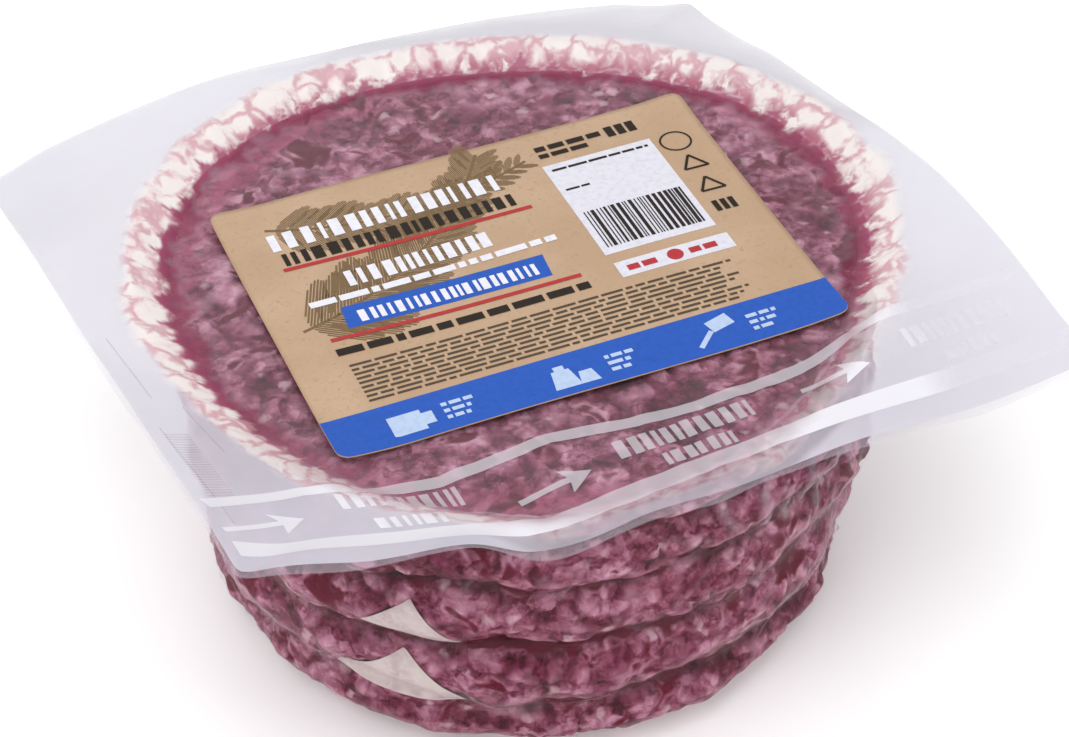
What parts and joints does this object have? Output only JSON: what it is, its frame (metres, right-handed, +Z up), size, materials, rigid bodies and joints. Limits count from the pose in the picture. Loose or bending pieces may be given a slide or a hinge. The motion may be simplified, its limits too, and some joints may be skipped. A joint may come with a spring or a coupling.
{
  "type": "vacuum-sealed burger patty pack",
  "caption": "Stack of round minced-beef patties sealed in clear formed film, with a wide soft flange, a clear lid film and a paper label.",
  "frame": {"origin": "centre of the flat base of the stack, on the surface it stands on", "axes": "+Z up along the stack's axis, +X to the right and -Y to the front, where the lid's opening strip is"},
  "size_m": [0.1616, 0.154, 0.0878],
  "materials": {
    "minced_beef_in_film": "minced beef seen through clear glossy film",
    "clear_lid_film": "clear glossy film",
    "kraft_label": "printed kraft paper, slightly satin"
  },
  "bodies": {
    "root": {"film_pack": "minced_beef_in_film", "lid_film": "clear_lid_film", "label": "kraft_label"}
  },
  "joints": []
}
